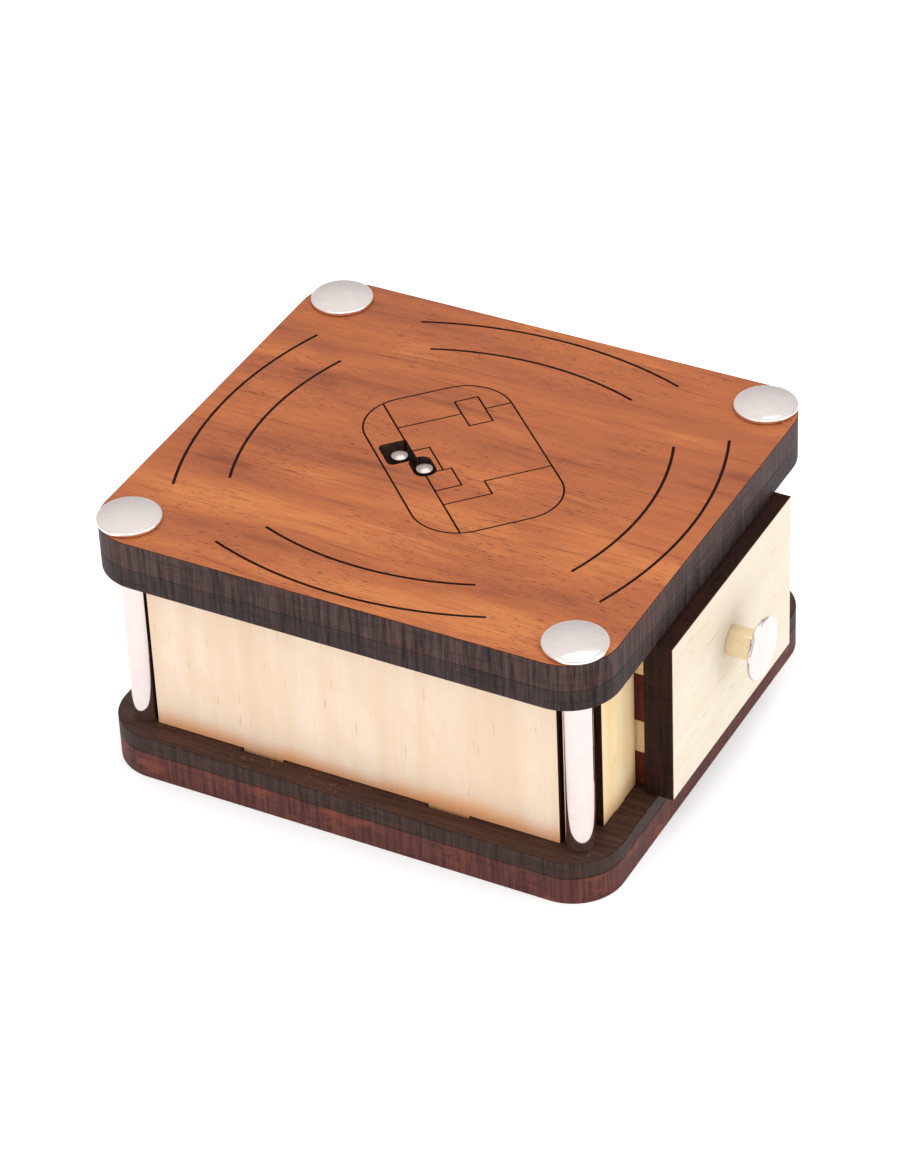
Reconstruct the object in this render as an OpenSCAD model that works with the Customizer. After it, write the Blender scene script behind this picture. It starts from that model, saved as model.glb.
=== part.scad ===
// Wooden puzzle box: laser-cut plates, panels and a drawer, held together by four
// chromed pillars, with two hidden sliding locks worked by steel pins in the lid.
// Front (drawer side) faces -Y, width runs along X, the box stands on z = 0.

/* [Box] */
// Width of the lid and the base, side to side
box_width = 132; // [120:1:170]
// Depth of the lid and the base, front to back
box_depth = 145.5; // [130:0.5:190]
// Radius of the plates' rounded corners
corner_radius = 14; // [8:0.5:15]
// Height of the panels between base and lid
panel_height = 48.4; // [40:0.2:70]

/* [Plates] */
// Thickness of the base's lower layer
base_lower_thickness = 8; // [6:0.5:12]
// Thickness of the base's upper layer
base_upper_thickness = 5; // [4:0.5:8]
// Thickness of the lid's lower layer, which holds the lock bars
lid_lower_thickness = 6; // [5:0.5:9]
// Thickness of the lid's upper layer
lid_upper_thickness = 8; // [6:0.5:12]
// Thickness of the panels
panel_thickness = 5; // [4:0.5:6]
// Length of a tab that joins a side panel to the plates
tab_length = 12; // [8:0.5:20]
// Distance of a side panel's tabs from its middle
tab_offset = 27; // [16:0.5:34]

/* [Pillars] */
// Diameter of a pillar and of its seat
pillar_diameter = 8; // [7:0.2:9]
// Distance of a pillar's axis from the plates' edges
pillar_inset = 9.8; // [9:0.1:14]
// Diameter of the screws' threaded shanks
shank_diameter = 6; // [4:0.2:6.4]
// Diameter of the round cap heads
cap_diameter = 17; // [12:0.5:19]
// Height of a cap's straight rim
cap_rim = 1.1; // [0.6:0.1:2]
// Height of a cap's dome above its rim
cap_dome = 1.2; // [0.6:0.1:2.5]

/* [Drawer] */
// Distance from the left edge of the box to the drawer opening
opening_left_inset = 36.6; // [30:0.2:40]
// Distance from the right edge of the box to the drawer opening
opening_right_inset = 27.7; // [20:0.1:32]
// How far the drawer stands open at rest
rest_gap = 3.7; // [0:0.1:8]
// How far the drawer pulls out from rest
drawer_travel = 85; // [40:1:90]
// Thickness of the drawer front's outer layer
face_outer_thickness = 3; // [2:0.5:5]
// Thickness of the drawer front's inner layer
face_inner_thickness = 5; // [3:0.5:8]
// How far the drawer front covers the opening's edges
face_overlap = 2.4; // [1:0.1:4]
// Thickness of the drawer's bottom board
bottom_thickness = 3; // [2:0.5:5]
// Diameter of the knob's brass sleeve
sleeve_diameter = 8.4; // [7:0.2:12]
// Length of the knob's brass sleeve
sleeve_length = 8; // [5:0.5:14]

/* [Lid window] */
// Turn of the window and of its tiles, degrees from the X axis
tile_angle = 46.3; // [40:0.1:50]
// Window length along the tiles' sliding direction
window_length = 64; // [58:0.5:70]
// Window width across the sliding direction
window_width = 40.6; // [38:0.2:46]
// Radius of the window's corners
window_radius = 13; // [6:0.5:16]
// Width of the laser cuts between fixed inlays
kerf = 0.3; // [0.2:0.05:0.5]
// Length of a sliding tile along its travel
tile_length = 5.2; // [4.8:0.1:5.2]
// Width of the first sliding tile
tile_a_width = 7; // [5.2:0.1:7.2]
// Width of the second sliding tile
tile_b_width = 5.2; // [4.8:0.1:5.6]
// Radius of the first tile's corners
tile_a_radius = 1.2; // [0.4:0.1:2.2]
// Radius of the second tile's corners
tile_b_radius = 2.2; // [0.4:0.1:2.3]
// How deep the sliding tiles lie below the lid's face
tile_sink = 3; // [1:0.1:5]
// How far a sliding tile travels
tile_travel = 2.4; // [1.8:0.1:2.4]
// Diameter of the steel pins that move the tiles
pin_diameter = 4.4; // [3:0.1:4.4]
// Diameter of the pegs that catch the drawer's back
peg_diameter = 4; // [3:0.1:4.6]

/* [Engraving] */
// Width of an engraved line
line_width = 0.6; // [0.4:0.1:1.6]
// Depth of an engraved line
line_depth = 0.5; // [0.3:0.1:1]
// Radius of the long arcs
long_arc_radius = 108; // [90:1:130]
// Radius of the short arcs
short_arc_radius = 84; // [70:1:100]
// Half of the angle that each arc covers
arc_half_angle = 20.7; // [12:0.1:21]

/* [Clearances] */
// Play round a moving wooden piece
slide_play = 0.35; // [0.25:0.05:0.5]
// Play above and below a moving wooden piece
lift_play = 0.15; // [0.1:0.05:0.25]
// Play between the drawer and its guide walls
drawer_play = 0.6; // [0.4:0.1:1]
// Play round a tab in its slot
tab_play = 0.1; // [0.05:0.05:0.2]
// How far the base's slots reach past the side panels' outer faces
tab_show = 0.7; // [0:0.1:1.5]

/* [Hidden] */
$fn = 96;

// Levels
base_top = base_lower_thickness + base_upper_thickness;
lid_bottom = base_top + panel_height;
lid_seam = lid_bottom + lid_lower_thickness;
lid_top = lid_seam + lid_upper_thickness;

// Plan positions
pillar_x = box_width / 2 - pillar_inset;
pillar_y = box_depth / 2 - pillar_inset;
pillar_radius = pillar_diameter / 2;
shank_radius = shank_diameter / 2;
hole_radius = shank_radius + 0.2;
thread_engagement = 12;
side_panel_play = 0.35;
side_panel_length = 2 * (pillar_y - pillar_radius - side_panel_play);
end_panel_gap = 8.1;
end_panel_x = pillar_x - end_panel_gap;
opening_left = -box_width / 2 + opening_left_inset;
opening_right = box_width / 2 - opening_right_inset;
panel_outer_y = pillar_y + panel_thickness / 2;
panel_inner_y = pillar_y - panel_thickness / 2;
tab_depth_down = base_upper_thickness - 0.2;
tab_depth_up = lid_lower_thickness - 0.2;
short_tab = 6;

// Screws
base_head_radius = 6;
base_head_height = 2.5;
base_head_recess = 0.3;
seat_play = 0.3;

// Drawer
face_thickness = face_outer_thickness + face_inner_thickness;
box_left = opening_left + drawer_play;
box_right = opening_right - drawer_play;
box_front_y = -panel_outer_y - rest_gap;
box_back_y = panel_inner_y - rest_gap - 0.5;
box_low = base_top + 0.2;
keeper_thickness = 3;
box_high = lid_bottom - keeper_thickness - 0.9;
box_height = box_high - box_low;
face_left = opening_left - face_overlap;
face_right = opening_right + face_overlap;
face_low = base_top + 0.25;
face_high = lid_bottom - 0.25;
face_outer_y = box_front_y - face_thickness;
board = panel_thickness;
// Share of the box height at which the corner fingers change over
finger_steps = [0, 0.23, 0.46, 0.79, 1];
knob_x = (face_left + face_right) / 2 - 1;
knob_z = (face_low + face_high) / 2 + 3;
nut_width = 10;
nut_height = 4;

// Lid window, in its own turned axes: p along the tiles' travel, q to the right of it
window_p = 1;
window_q = 3.15;
p_low = window_p - window_length / 2;
p_high = window_p + window_length / 2;
q_low = window_q - window_width / 2;
q_high = window_q + window_width / 2;
pin_a_p = 7.6;
pin_a_q = -11.7;
pin_b_p = -0.4;
pin_b_q = -7.6;
slot_a_pocket = 1.2;
slot_a_low = pin_a_p - tile_length / 2 - slide_play;
slot_a_high = pin_a_p + tile_length / 2 + tile_travel + slide_play + slot_a_pocket;
// The second slot runs this far into the first one
slot_meet = 0.8;
slot_b_pocket = slot_a_low + slot_meet - (pin_b_p + tile_length / 2 + tile_travel + slide_play);
seam_q = -8.15;
slot_b_low = pin_b_p - tile_length / 2 - slide_play;
pin_key_low = slot_b_low + 1;
pin_key_high = 8.6;
pin_key_q = -3.2;
head_seam_p = 20;
foot_seam_p = -17;
foot_step = 6;
foot_step_q = 5;
square_key = 7.2;
long_key = [12, 6.5];
long_key_q = 12.8;

// Lock bars, in the box's own axes
function turned(p, q) = [
    p * cos(tile_angle) + q * sin(tile_angle),
    p * sin(tile_angle) - q * cos(tile_angle)
];
pin_a_at = turned(pin_a_p, pin_a_q);
pin_b_at = turned(pin_b_p, pin_b_q);
travel_x = tile_travel * cos(tile_angle);
travel_y = tile_travel * sin(tile_angle);
bar_width = 6.4;
bar_low = lid_bottom + lift_play;
bar_high = lid_seam - lift_play;
bar_b_shift = 8.8;
bar_b_x = pin_b_at[0] - bar_b_shift;
peg_y = box_back_y - board - travel_y - peg_diameter / 2 - 1.2;
bar_end_y = peg_y + bar_width / 2;
peg_low = box_high - 7.5;
peg_play = 0.4;
notch_depth = 9;
keeper_margin = 5;
pin_rise = 1;
pin_dome = 0.7;
stop_width = 12;
stop_depth = 6;
stop_drop = 7;
// The back board's inner face comes this close to the stop at full travel
stop_y = box_back_y - board - drawer_travel - 0.2;

// Engraving
long_arc_gap = [3.6, 5];
arc_pair_gap = [12.3, 13.4];

// A plate with four round corners, standing on z
module rounded_plate(width, depth, radius, low, thickness) {
    translate([-width / 2 + radius, -depth / 2, low]) cube([width - 2 * radius, depth, thickness]);
    translate([-width / 2, -depth / 2 + radius, low]) cube([width, depth - 2 * radius, thickness]);
    for (sx = [-1, 1], sy = [-1, 1])
        translate([sx * (width / 2 - radius), sy * (depth / 2 - radius), low])
            cylinder(r = radius, h = thickness);
}

// A block given by its low and high corners
module block(low, high) {
    translate(low) cube(high - low);
}

// The same thing at each of the four pillars
module at_pillars() {
    for (sx = [-1, 1], sy = [-1, 1]) translate([sx * pillar_x, sy * pillar_y, 0]) children();
}

// The screw holes through a plate
module screw_holes(low, thickness) {
    at_pillars() translate([0, 0, low - 1]) cylinder(r = hole_radius, h = thickness + 2);
}

// A panel's tabs, or with some play the slots that take them: side panels stand along Y.
// A slot may reach past the panel's outer face by show.
module side_tabs(side, low, high, play = 0, show = 0) {
    half = panel_thickness / 2 + play;
    for (sy = [-1, 1])
        block([side * pillar_x - half - (side < 0 ? show : 0), sy * tab_offset - tab_length / 2 - play, low],
              [side * pillar_x + half + (side > 0 ? show : 0), sy * tab_offset + tab_length / 2 + play,
               high]);
}

// One tab of a panel that stands along X, centred on x
module end_tab(x, end, length, low, high, play = 0) {
    block([x - length / 2 - play, end * pillar_y - panel_thickness / 2 - play, low],
          [x + length / 2 + play, end * pillar_y + panel_thickness / 2 + play, high]);
}

front_left_tab_x = (-end_panel_x + opening_left) / 2;
front_right_tab_x = (opening_right + end_panel_x) / 2;
back_tab_x = end_panel_x * 0.55;

// All slots of a plate
module tab_slots(low, high, show = 0) {
    for (side = [-1, 1]) side_tabs(side, low, high, tab_play, show);
    end_tab(front_left_tab_x, -1, short_tab, low, high, tab_play);
    end_tab(front_right_tab_x, -1, short_tab, low, high, tab_play);
    for (side = [-1, 1]) end_tab(side * back_tab_x, 1, tab_length, low, high, tab_play);
}

module base_lower_plate() {
    color("#5a3a38") difference() {
        rounded_plate(box_width, box_depth, corner_radius, 0, base_lower_thickness);
        screw_holes(0, base_lower_thickness);
        at_pillars() translate([0, 0, -1])
            cylinder(r = base_head_radius + seat_play, h = 1 + base_head_recess + base_head_height);
    }
}

module base_upper_plate() {
    color("#43352f") difference() {
        rounded_plate(box_width, box_depth, corner_radius, base_lower_thickness, base_upper_thickness);
        screw_holes(base_lower_thickness, base_upper_thickness);
        tab_slots(base_lower_thickness - 1, base_top + 1, tab_show);
    }
}

module side_panel(side) {
    color("#f3dcbe") {
        translate([side * pillar_x - panel_thickness / 2, -side_panel_length / 2, base_top])
            cube([panel_thickness, side_panel_length, panel_height]);
        side_tabs(side, base_top - tab_depth_down, base_top);
        side_tabs(side, lid_bottom, lid_bottom + tab_depth_up);
    }
}

module back_panel() {
    color("#f3dcbe") {
        block([-end_panel_x, panel_inner_y, base_top], [end_panel_x, panel_outer_y, lid_bottom]);
        for (side = [-1, 1]) {
            end_tab(side * back_tab_x, 1, tab_length, base_top - tab_depth_down, base_top);
            end_tab(side * back_tab_x, 1, tab_length, lid_bottom, lid_bottom + tab_depth_up);
        }
    }
}

module front_panel(left, right) {
    color("#f0d0a0") {
        block([left, -panel_outer_y, base_top], [right, -panel_inner_y, lid_bottom]);
        end_tab((left + right) / 2, -1, short_tab, base_top - tab_depth_down, base_top);
        end_tab((left + right) / 2, -1, short_tab, lid_bottom, lid_bottom + tab_depth_up);
    }
}

module guide_wall(left) {
    color("#e8cda4")
        block([left, -panel_inner_y, base_top], [left + panel_thickness, panel_inner_y, lid_bottom]);
}

// Room that a lock bar sweeps: the bar's own box, stretched by its travel
module bar_room(low, high, step) {
    block([min(low[0], low[0] + step[0]) - slide_play, min(low[1], low[1] + step[1]) - slide_play,
           lid_bottom - 1],
          [max(high[0], high[0] + step[0]) + slide_play, max(high[1], high[1] + step[1]) + slide_play,
           lid_seam + 1]);
}

bar_a_low = [pin_a_at[0] - bar_width / 2, pin_a_at[1] - bar_width / 2];
bar_a_high = [pin_a_at[0] + bar_width / 2, bar_end_y];
bar_b_low = [bar_b_x - bar_width / 2, pin_b_at[1] - bar_width / 2];
bar_b_high = [bar_b_x + bar_width / 2, bar_end_y];
arm_b_high = [pin_b_at[0] + bar_width / 2, pin_b_at[1] + bar_width / 2];

module lid_lower_plate() {
    color("#4a3835") difference() {
        rounded_plate(box_width, box_depth, corner_radius, lid_bottom, lid_lower_thickness);
        screw_holes(lid_bottom, lid_lower_thickness);
        tab_slots(lid_bottom - 1, lid_bottom + tab_depth_up + 0.1);
        bar_room(bar_a_low, bar_a_high, [travel_x, travel_y]);
        bar_room(bar_b_low, bar_b_high, [travel_x, travel_y]);
        bar_room(bar_b_low, arm_b_high, [travel_x, travel_y]);
    }
}

// An engraved arc that bulges towards +X, with the middle of the line at distance reach
module arc_groove(reach, radius) {
    side = radius + line_width;
    translate([reach - radius, 0, lid_top - line_depth]) intersection() {
        difference() {
            cylinder(r = radius + line_width / 2, h = line_depth + 1, $fn = 360);
            translate([0, 0, -1]) cylinder(r = radius - line_width / 2, h = line_depth + 3, $fn = 360);
        }
        linear_extrude(line_depth + 1) polygon([
            [0, 0],
            [side, -side * tan(arc_half_angle)],
            [side, side * tan(arc_half_angle)]
        ]);
    }
}

// A pair of arcs for each of the four sides
module engraving() {
    for (turn = [0, 1, 2, 3]) {
        axis = turn % 2;
        half = axis == 0 ? box_width / 2 : box_depth / 2;
        rotate(90 * turn) {
            arc_groove(half - long_arc_gap[axis], long_arc_radius);
            arc_groove(half - long_arc_gap[axis] - arc_pair_gap[axis], short_arc_radius);
        }
    }
}

// Children drawn in the window's turned axes: x is p, y is -q
module in_window() {
    rotate(tile_angle) mirror([0, 1, 0]) children();
}

// The window's outline as a solid, grown or shrunk by edge
module window_solid(edge, low, high) {
    in_window() translate([window_p, window_q, 0])
        rounded_plate(window_length + 2 * edge, window_width + 2 * edge, window_radius + edge,
                      low, high - low);
}

// A rectangular cell of the window between two p and two q values
module cell(p0, p1, q0, q1, grow = 0, low = lid_seam - 1, high = lid_top + 1) {
    in_window() block([p0 - grow, q0 - grow, low], [p1 + grow, q1 + grow, high]);
}

// The slot that a tile of this width slides in, with some more room at its end
module tile_slot(p, q, width, radius, pocket) {
    in_window() translate([p + (tile_travel + pocket) / 2, q, 0])
        rounded_plate(tile_length + tile_travel + pocket + 2 * slide_play, width + 2 * slide_play,
                      radius + slide_play, lid_seam - 1, lid_upper_thickness + 2);
}

// Both tiles' slots, which run into each other, the first one with square corners by the seam
module tile_slots() {
    tile_slot(pin_a_p, pin_a_q, tile_a_width, tile_a_radius, slot_a_pocket);
    cell(slot_a_low, slot_a_high, pin_a_q, pin_a_q + tile_a_width / 2 + slide_play);
    tile_slot(pin_b_p, pin_b_q, tile_b_width, tile_b_radius, slot_b_pocket);
}

module square_key_cell(grow) {
    cell(slot_b_low - square_key, slot_b_low + 1, seam_q, seam_q + square_key, grow);
}

module pin_key_cell(grow) {
    cell(pin_key_low, pin_key_high, seam_q, pin_key_q, grow);
}

module long_key_cell(grow) {
    cell(head_seam_p - long_key[0] / 2, head_seam_p + long_key[0] / 2,
         long_key_q - long_key[1] / 2, long_key_q + long_key[1] / 2, grow);
}

// The stepped region at the window's foot
module foot_cells(grow) {
    cell(p_low - 5, foot_seam_p, seam_q, q_high + 5, grow);
    cell(p_low - 5, foot_seam_p + foot_step, foot_step_q, q_high + 5, grow);
}

// What every inlay is cut from
module inlay_stock() {
    window_solid(-kerf, lid_seam, lid_top);
}

module lid_upper_plate() {
    color("#d98050") difference() {
        rounded_plate(box_width, box_depth, corner_radius, lid_seam, lid_upper_thickness);
        screw_holes(lid_seam, lid_upper_thickness);
        window_solid(0, lid_seam - 1, lid_top + 1);
        engraving();
    }
}

module inlay_side() {
    color("#d4794a") difference() {
        intersection() {
            inlay_stock();
            cell(p_low - 5, p_high + 5, q_low - 5, seam_q - kerf / 2);
        }
        tile_slots();
    }
}

module inlay_head() {
    color("#dc8455") difference() {
        intersection() {
            inlay_stock();
            cell(head_seam_p + kerf / 2, p_high + 5, seam_q + kerf / 2, q_high + 5);
        }
        long_key_cell(kerf / 2);
        tile_slots();
    }
}

module inlay_field() {
    color("#d67d4c") difference() {
        intersection() {
            inlay_stock();
            cell(foot_seam_p + kerf / 2, head_seam_p - kerf / 2, seam_q + kerf / 2, q_high + 5);
        }
        foot_cells(kerf / 2);
        long_key_cell(kerf / 2);
        square_key_cell(kerf / 2);
        pin_key_cell(kerf / 2);
        tile_slots();
    }
}

module inlay_foot() {
    color("#cf7546") intersection() {
        inlay_stock();
        foot_cells(-kerf / 2);
    }
}

module inlay_square_key() {
    color("#c46c40") difference() {
        intersection() {
            inlay_stock();
            square_key_cell(-kerf / 2);
        }
        pin_key_cell(kerf / 2);
        tile_slots();
    }
}

module inlay_pin_key() {
    color("#dc8455") difference() {
        intersection() {
            inlay_stock();
            pin_key_cell(-kerf / 2);
        }
        tile_slots();
    }
}

module inlay_long_key() {
    color("#e08c5c") intersection() {
        inlay_stock();
        long_key_cell(-kerf / 2);
    }
}

// A round-ended slot through the keeper for a travelling peg
module peg_slot(x) {
    reach = peg_diameter / 2 + peg_play;
    translate([x, peg_y, 0]) rotate(tile_angle) {
        translate([0, -reach, lid_bottom - keeper_thickness - 1])
            cube([tile_travel, 2 * reach, keeper_thickness + 2]);
        for (along = [0, tile_travel]) translate([along, 0, lid_bottom - keeper_thickness - 1])
            cylinder(r = reach, h = keeper_thickness + 2);
    }
}

module keeper_plate() {
    color("#e8cda4") difference() {
        block([bar_b_low[0] - keeper_margin, bar_b_low[1] - keeper_margin, lid_bottom - keeper_thickness],
              [bar_a_high[0] + travel_x + keeper_margin, panel_inner_y - 0.5, lid_bottom]);
        peg_slot(pin_a_at[0]);
        peg_slot(bar_b_x);
    }
}

module drawer_stop() {
    color("#e8cda4")
        block([knob_x + stop_width / 2, stop_y - stop_depth, lid_bottom - stop_drop],
              [knob_x + 1.5 * stop_width, stop_y, lid_bottom]);
}

module pillar(sx, sy) {
    color("#e6e6ea") translate([sx * pillar_x, sy * pillar_y, base_top]) difference() {
        cylinder(r = pillar_radius, h = panel_height);
        translate([0, 0, -1]) cylinder(r = shank_radius, h = panel_height + 2);
    }
}

// A thin round head with a domed top, its underside on z = 0
module domed_head(radius, rim, dome) {
    ball = (radius * radius + dome * dome) / (2 * dome);
    cylinder(r = radius, h = rim);
    intersection() {
        translate([0, 0, rim + dome - ball]) sphere(r = ball);
        translate([0, 0, rim - 0.01]) cylinder(r = radius, h = dome + 1);
    }
}

// A cap with a threaded shank below it
module cap_screw(shank_length) {
    domed_head(cap_diameter / 2, cap_rim, cap_dome);
    translate([0, 0, -shank_length]) cylinder(r = shank_radius, h = shank_length + 0.5);
}

module pillar_cap_screw(sx, sy) {
    color("#efefef") translate([sx * pillar_x, sy * pillar_y, lid_top])
        cap_screw(lid_upper_thickness + lid_lower_thickness + thread_engagement);
}

module base_screw(sx, sy) {
    color("#c8c8cc") translate([sx * pillar_x, sy * pillar_y, base_head_recess]) {
        difference() {
            cylinder(r = base_head_radius, h = base_head_height);
            translate([0, 0, -1]) cylinder(r = 2.3, h = 2.2, $fn = 6);
        }
        translate([0, 0, base_head_height - 0.5])
            cylinder(r = shank_radius, h = base_top + thread_engagement - base_head_height);
    }
}

// A tile with round corners and its pin's hole
module tile(p, q, width, radius) {
    color("#3a2018") difference() {
        in_window() translate([p, q, 0])
            rounded_plate(tile_length, width, radius, lid_seam + lift_play,
                          lid_upper_thickness - tile_sink - lift_play);
        translate([turned(p, q)[0], turned(p, q)[1], lid_seam - 1])
            cylinder(r = pin_diameter / 2, h = lid_upper_thickness + 2);
    }
}

module pin(at) {
    color("#dcdce0") translate([at[0], at[1], bar_low])
        domed_head(pin_diameter / 2, lid_top + pin_rise - pin_dome - bar_low, pin_dome);
}

// A bar along +Y with its peg's hole
module lock_bar(low, high, pin_at, peg_x) {
    difference() {
        union() {
            block([low[0], low[1], bar_low], [high[0], high[1], bar_high]);
            children();
        }
        translate([pin_at[0], pin_at[1], bar_low - 1])
            cylinder(r = pin_diameter / 2, h = lid_lower_thickness + 2);
        translate([peg_x, peg_y, bar_low - 1]) cylinder(r = peg_diameter / 2, h = lid_lower_thickness + 2);
    }
}

module lock_bar_a() {
    color("#e3c193") lock_bar(bar_a_low, bar_a_high, pin_a_at, pin_a_at[0]);
}

module lock_bar_b() {
    color("#e3c193") lock_bar(bar_b_low, bar_b_high, pin_b_at, bar_b_x)
        block([bar_b_low[0], bar_b_low[1], bar_low], [arm_b_high[0], arm_b_high[1], bar_high]);
}

module peg(x) {
    color("#c8c8cc") translate([x, peg_y, peg_low])
        cylinder(r = peg_diameter / 2, h = bar_high - peg_low);
}

module drawer_face(near, far) {
    difference() {
        block([face_left, near, face_low], [face_right, far, face_high]);
        knob_hole(near, far);
    }
}

module knob_hole(near, far) {
    translate([knob_x, near - 1, knob_z]) rotate([-90, 0, 0])
        cylinder(r = hole_radius, h = far - near + 2);
}

module drawer_face_outer() {
    color("#f8e7cc") drawer_face(face_outer_y, face_outer_y + face_outer_thickness);
}

module drawer_face_inner() {
    color("#4a2b24") drawer_face(face_outer_y + face_outer_thickness, box_front_y);
}

// The fingers of the side boards, where first is 1, or of the end boards, where it is 0
module corner_fingers(x, y, first) {
    for (step = [first : 2 : len(finger_steps) - 2])
        block([x, y, box_low + finger_steps[step] * box_height],
              [x + board, y + board, box_low + finger_steps[step + 1] * box_height]);
}

module side_board(x) {
    block([x, box_front_y + board, box_low], [x + board, box_back_y - board, box_high]);
    for (y = [box_front_y, box_back_y - board]) corner_fingers(x, y, 1);
}

module end_board(y) {
    block([box_left + board, y, box_low], [box_right - board, y + board, box_high]);
    for (x = [box_left, box_right - board]) corner_fingers(x, y, 0);
}

module drawer_box_front() {
    color("#ecd2ac") difference() {
        end_board(box_front_y);
        knob_hole(box_front_y, box_front_y + board);
    }
}

module drawer_back() {
    notch = peg_diameter + 2 * peg_play;
    color("#ecd2ac") difference() {
        end_board(box_back_y - board);
        for (x = [pin_a_at[0], bar_b_x])
            block([x - notch / 2, box_back_y - board - 1, box_high - notch_depth],
                  [x + notch / 2, box_back_y + 1, box_high + 1]);
    }
}

module drawer_side_left() {
    color("#ecd2ac") side_board(box_left);
}

module drawer_side_right() {
    color("#ecd2ac") side_board(box_right - board);
}

module drawer_bottom() {
    color("#e8cda4")
        block([box_left + board, box_front_y + board, box_low],
              [box_right - board, box_back_y - board, box_low + bottom_thickness]);
}

// The knob's pieces, drawn with +Z pointing out of the drawer front
module on_drawer_front() {
    translate([knob_x, face_outer_y, knob_z]) rotate([90, 0, 0]) children();
}

module knob_sleeve() {
    color("#c9a45a") on_drawer_front() difference() {
        cylinder(r = sleeve_diameter / 2, h = sleeve_length);
        translate([0, 0, -1]) cylinder(r = shank_radius, h = sleeve_length + 2);
    }
}

module knob_screw() {
    color("#efefef") on_drawer_front() translate([0, 0, sleeve_length])
        cap_screw(sleeve_length + face_thickness + board + nut_height + 1);
}

module knob_nut() {
    color("#c8c8cc") on_drawer_front()
        translate([0, 0, -face_thickness - board - nut_height]) difference() {
            cylinder(d = nut_width / cos(30), h = nut_height, $fn = 6);
            translate([0, 0, -1]) cylinder(r = shank_radius, h = nut_height + 2);
        }
}

base_lower_plate();
base_upper_plate();
side_panel(-1);  // side_panel_left
side_panel(1);  // side_panel_right
back_panel();
front_panel(-end_panel_x, opening_left);  // front_panel_left
front_panel(opening_right, end_panel_x);  // front_panel_right
guide_wall(opening_left - panel_thickness);  // guide_wall_left
guide_wall(opening_right);  // guide_wall_right
lid_lower_plate();
lid_upper_plate();
inlay_side();
inlay_head();
inlay_field();
inlay_foot();
inlay_square_key();
inlay_long_key();
inlay_pin_key();
keeper_plate();
drawer_stop();
pillar(-1, -1);  // pillar_front_left
pillar(1, -1);  // pillar_front_right
pillar(-1, 1);  // pillar_back_left
pillar(1, 1);  // pillar_back_right
pillar_cap_screw(-1, -1);  // cap_screw_front_left
pillar_cap_screw(1, -1);  // cap_screw_front_right
pillar_cap_screw(-1, 1);  // cap_screw_back_left
pillar_cap_screw(1, 1);  // cap_screw_back_right
base_screw(-1, -1);  // base_screw_front_left
base_screw(1, -1);  // base_screw_front_right
base_screw(-1, 1);  // base_screw_back_left
base_screw(1, 1);  // base_screw_back_right
tile(pin_a_p, pin_a_q, tile_a_width, tile_a_radius);  // tile_a
tile(pin_b_p, pin_b_q, tile_b_width, tile_b_radius);  // tile_b
pin(pin_a_at);  // pin_a
pin(pin_b_at);  // pin_b
lock_bar_a();
lock_bar_b();
peg(pin_a_at[0]);  // peg_a
peg(bar_b_x);  // peg_b
drawer_face_outer();
drawer_face_inner();
drawer_box_front();
drawer_side_left();
drawer_side_right();
drawer_back();
drawer_bottom();
knob_sleeve();
knob_screw();
knob_nut();
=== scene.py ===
"""Looks for a wooden puzzle box: laser-cut boards, chromed fittings, a drawer and two sliding locks."""

import logging
import math
from collections.abc import Sequence
from dataclasses import dataclass
from enum import Enum

import bmesh
import bpy
from mathutils import Matrix, Vector


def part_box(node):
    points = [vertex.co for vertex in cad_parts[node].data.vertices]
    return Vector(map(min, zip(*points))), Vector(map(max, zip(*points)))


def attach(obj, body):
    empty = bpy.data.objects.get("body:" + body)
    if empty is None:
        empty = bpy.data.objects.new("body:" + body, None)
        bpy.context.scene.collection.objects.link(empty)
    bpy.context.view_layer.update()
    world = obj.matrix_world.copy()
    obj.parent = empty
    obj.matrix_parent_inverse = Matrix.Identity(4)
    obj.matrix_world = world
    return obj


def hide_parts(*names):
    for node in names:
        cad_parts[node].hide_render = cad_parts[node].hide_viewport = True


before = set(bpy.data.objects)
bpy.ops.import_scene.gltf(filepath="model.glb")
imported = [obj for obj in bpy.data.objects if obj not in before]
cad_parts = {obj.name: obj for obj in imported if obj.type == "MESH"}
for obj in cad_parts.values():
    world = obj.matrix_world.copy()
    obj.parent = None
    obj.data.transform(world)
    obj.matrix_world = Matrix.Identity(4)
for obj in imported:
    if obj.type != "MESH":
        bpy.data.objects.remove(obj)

Triple = tuple[float, float, float]
Socket = bpy.types.NodeSocket
Material = bpy.types.Material
Shape = bmesh.types.BMesh

MM = 0.001
# Edges that turn more than this stay crisp under smooth shading
CRISP_ANGLE = math.radians(32)
# Edges that turn more than this are rounded over
ROUNDED_ANGLE = math.radians(40)
# Neighbouring faces that turn less than this are one flat face
FLAT_ANGLE = math.radians(0.4)
# Points closer than this are one point, on turned parts and on the CAD's loose triangles
WELD_MM = 0.001
CAD_WELD_MM = 0.002
# The seed of the turns that the screws are left at
CORNER_SEED = 7
# Settings that several nodes share: a smooth range, a product and a mix of colours
SMOOTH = {"interpolation_type": "SMOOTHSTEP"}
TIMES = {"operation": "MULTIPLY"}
COLOURS = {"data_type": "RGBA"}
log = logging.getLogger("puzzle_box")


# ---------------------------------------------------------------- colours and nodes


def to_linear(colour: str) -> tuple[float, float, float, float]:
    """Turns a hex sRGB colour into linear RGBA.

    Args:
        colour: Six hex digits after a hash sign.

    Returns:
        The linear colour with full alpha.
    """
    channels = [int(colour[i : i + 2], 16) / 255 for i in (1, 3, 5)]
    return (*[c / 12.92 if c <= 0.04045 else ((c + 0.055) / 1.055) ** 2.4 for c in channels], 1.0)


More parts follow.
